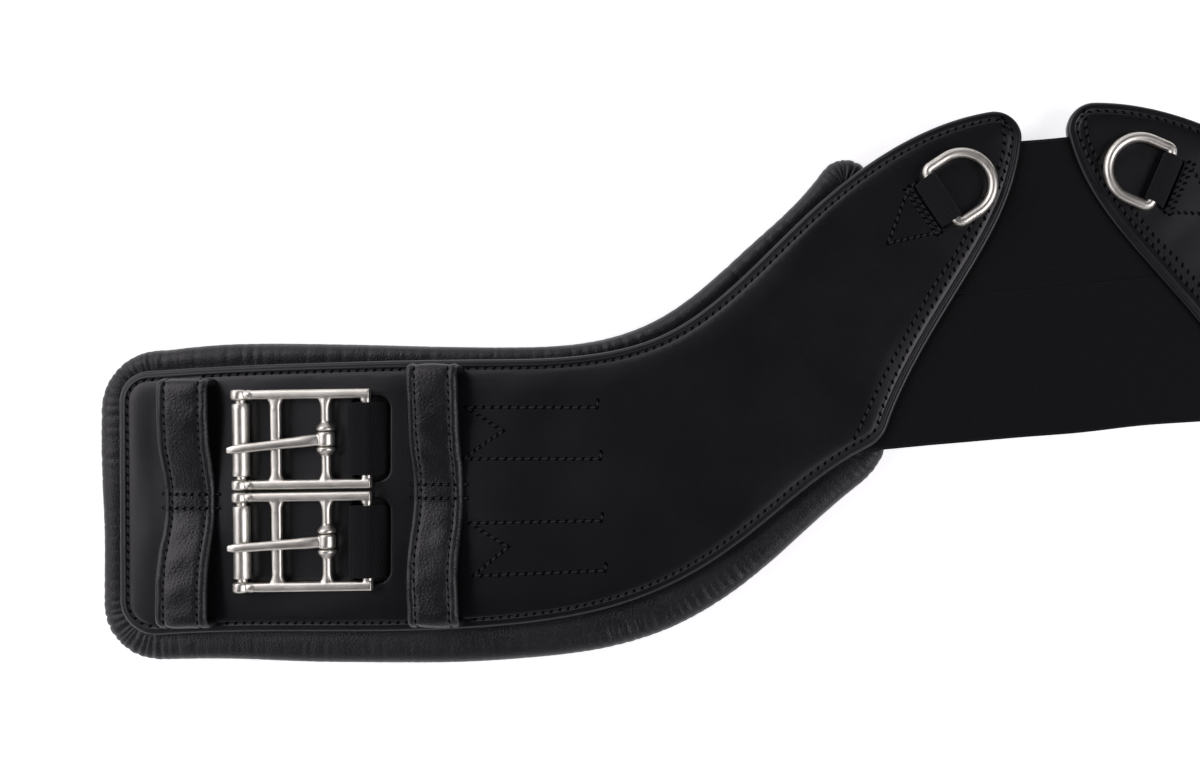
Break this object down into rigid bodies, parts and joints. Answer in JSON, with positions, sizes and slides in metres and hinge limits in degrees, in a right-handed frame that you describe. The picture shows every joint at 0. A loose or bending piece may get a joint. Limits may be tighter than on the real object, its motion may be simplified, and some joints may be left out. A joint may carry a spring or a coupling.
{
  "type": "saddle girth",
  "caption": "Short anatomical saddle girth in black leather with a padded liner, centre elastic, roller buckles on elastic, strap keepers and a D-ring at each side of the centre.",
  "frame": {"origin": "bottom centre of the girth lying flat, midway between its two halves", "axes": "+X along the girth towards its right buckles, +Y towards the horse's front, +Z away from the horse, towards the buckle side"},
  "size_m": [0.6608, 0.1702, 0.0234],
  "materials": {
    "panel_leather": "smooth satin",
    "keeper_leather": "fine pebbled satin",
    "liner_leather": "soft matte",
    "core_leather": "raw",
    "foam": "matte",
    "elastic": "ribbed matte",
    "webbing": "woven matte",
    "buckle_metal": "satin polished"
  },
  "bodies": {
    "left_half": {"left_liner_cover": "liner_leather", "left_foam_pad": "foam", "left_backing_leather": "core_leather", "left_interlining": "core_leather", "left_top_panel": "panel_leather", "left_outer_keeper": "keeper_leather", "left_inner_keeper": "keeper_leather", "left_d_ring_tape": "webbing"},
    "centre_elastic": {"centre_elastic_front": "elastic", "centre_elastic_rear": "elastic"},
    "right_half": {"right_liner_cover": "liner_leather", "right_foam_pad": "foam", "right_backing_leather": "core_leather", "right_interlining": "core_leather", "right_top_panel": "panel_leather", "right_outer_keeper": "keeper_leather", "right_inner_keeper": "keeper_leather", "right_d_ring_tape": "webbing"},
    "left_front_elastic_loop": {"left_front_buckle_elastic": "elastic"},
    "left_front_buckle": {"left_front_buckle_frame": "buckle_metal"},
    "left_front_roller": {"left_front_roller": "buckle_metal"},
    "left_front_tongue": {"left_front_tongue": "buckle_metal"},
    "left_rear_elastic_loop": {"left_rear_buckle_elastic": "elastic"},
    "left_rear_buckle": {"left_rear_buckle_frame": "buckle_metal"},
    "left_rear_roller": {"left_rear_roller": "buckle_metal"},
    "left_rear_tongue": {"left_rear_tongue": "buckle_metal"},
    "left_d_ring": {"left_d_ring": "buckle_metal"},
    "right_front_elastic_loop": {"right_front_buckle_elastic": "elastic"},
    "right_front_buckle": {"right_front_buckle_frame": "buckle_metal"},
    "right_front_roller": {"right_front_roller": "buckle_metal"},
    "right_front_tongue": {"right_front_tongue": "buckle_metal"},
    "right_rear_elastic_loop": {"right_rear_buckle_elastic": "elastic"},
    "right_rear_buckle": {"right_rear_buckle_frame": "buckle_metal"},
    "right_rear_roller": {"right_rear_roller": "buckle_metal"},
    "right_rear_tongue": {"right_rear_tongue": "buckle_metal"},
    "right_d_ring": {"right_d_ring": "buckle_metal"}
  },
  "joints": [
    {"name": "centre_fold", "type": "hinge", "parent": "left_half", "child": "centre_elastic", "pos_m": [0, 0, 0.0112], "axis": [0, 1, 0], "range_deg": [-100, 140], "deforming": ["centre_elastic_front", "centre_elastic_rear"]},
    {"name": "centre_stretch", "type": "slide", "parent": "centre_elastic", "child": "right_half", "axis": [1, 0, 0], "range_m": [0, 0.008], "stiffness_N_per_m": 9000},
    {"name": "left_front_elastic_stretch", "type": "slide", "parent": "left_half", "child": "left_front_elastic_loop", "axis": [-0.9962, 0.0872, 0], "range_m": [0, 0.004], "stiffness_N_per_m": 3000, "deforming": ["left_front_buckle_elastic"]},
    {"name": "left_front_buckle_lift", "type": "hinge", "parent": "left_front_elastic_loop", "child": "left_front_buckle", "pos_m": [-0.23342, -0.00571, 0.0183], "axis": [0.0732, 0.9973, 0], "range_deg": [0, 75]},
    {"name": "left_front_tongue_lift", "type": "hinge", "parent": "left_front_buckle", "child": "left_front_tongue", "pos_m": [-0.24688, -0.00473, 0.0183], "axis": [0.0732, 0.9973, 0], "range_deg": [0, 100]},
    {"name": "left_front_roller_spin", "type": "hinge", "parent": "left_front_buckle", "child": "left_front_roller", "pos_m": [-0.2749, -0.00267, 0.0183], "axis": [0.0732, 0.9973, 0], "continuous": true},
    {"name": "left_rear_elastic_stretch", "type": "slide", "parent": "left_half", "child": "left_rear_elastic_loop", "axis": [-0.9962, 0.0872, 0], "range_m": [0, 0.004], "stiffness_N_per_m": 3000, "deforming": ["left_rear_buckle_elastic"]},
    {"name": "left_rear_buckle_lift", "type": "hinge", "parent": "left_rear_elastic_loop", "child": "left_rear_buckle", "pos_m": [-0.23597, -0.03952, 0.0183], "axis": [0.0732, 0.9973, 0], "range_deg": [0, 75]},
    {"name": "left_rear_tongue_lift", "type": "hinge", "parent": "left_rear_buckle", "child": "left_rear_tongue", "pos_m": [-0.24943, -0.03853, 0.0183], "axis": [0.0732, 0.9973, 0], "range_deg": [0, 100]},
    {"name": "left_rear_roller_spin", "type": "hinge", "parent": "left_rear_buckle", "child": "left_rear_roller", "pos_m": [-0.27746, -0.03647, 0.0183], "axis": [0.0732, 0.9973, 0], "continuous": true},
    {"name": "left_d_ring_lift", "type": "hinge", "parent": "left_half", "child": "left_d_ring", "pos_m": [-0.0365, 0.0573, 0.0178], "axis": [0.4726, -0.8813, 0], "range_deg": [0, 150]},
    {"name": "right_front_elastic_stretch", "type": "slide", "parent": "right_half", "child": "right_front_elastic_loop", "axis": [0.9962, 0.0872, 0], "range_m": [0, 0.004], "stiffness_N_per_m": 3000, "deforming": ["right_front_buckle_elastic"]},
    {"name": "right_front_buckle_lift", "type": "hinge", "parent": "right_front_elastic_loop", "child": "right_front_buckle", "pos_m": [0.23342, -0.00571, 0.0183], "axis": [0.0732, -0.9973, 0], "range_deg": [0, 75]},
    {"name": "right_front_tongue_lift", "type": "hinge", "parent": "right_front_buckle", "child": "right_front_tongue", "pos_m": [0.24688, -0.00473, 0.0183], "axis": [0.0732, -0.9973, 0], "range_deg": [0, 100]},
    {"name": "right_front_roller_spin", "type": "hinge", "parent": "right_front_buckle", "child": "right_front_roller", "pos_m": [0.2749, -0.00267, 0.0183], "axis": [0.0732, -0.9973, 0], "continuous": true},
    {"name": "right_rear_elastic_stretch", "type": "slide", "parent": "right_half", "child": "right_rear_elastic_loop", "axis": [0.9962, 0.0872, 0], "range_m": [0, 0.004], "stiffness_N_per_m": 3000, "deforming": ["right_rear_buckle_elastic"]},
    {"name": "right_rear_buckle_lift", "type": "hinge", "parent": "right_rear_elastic_loop", "child": "right_rear_buckle", "pos_m": [0.23597, -0.03952, 0.0183], "axis": [0.0732, -0.9973, 0], "range_deg": [0, 75]},
    {"name": "right_rear_tongue_lift", "type": "hinge", "parent": "right_rear_buckle", "child": "right_rear_tongue", "pos_m": [0.24943, -0.03853, 0.0183], "axis": [0.0732, -0.9973, 0], "range_deg": [0, 100]},
    {"name": "right_rear_roller_spin", "type": "hinge", "parent": "right_rear_buckle", "child": "right_rear_roller", "pos_m": [0.27746, -0.03647, 0.0183], "axis": [0.0732, -0.9973, 0], "continuous": true},
    {"name": "right_d_ring_lift", "type": "hinge", "parent": "right_half", "child": "right_d_ring", "pos_m": [0.0365, 0.0573, 0.0178], "axis": [0.4726, 0.8813, 0], "range_deg": [0, 150]}
  ]
}
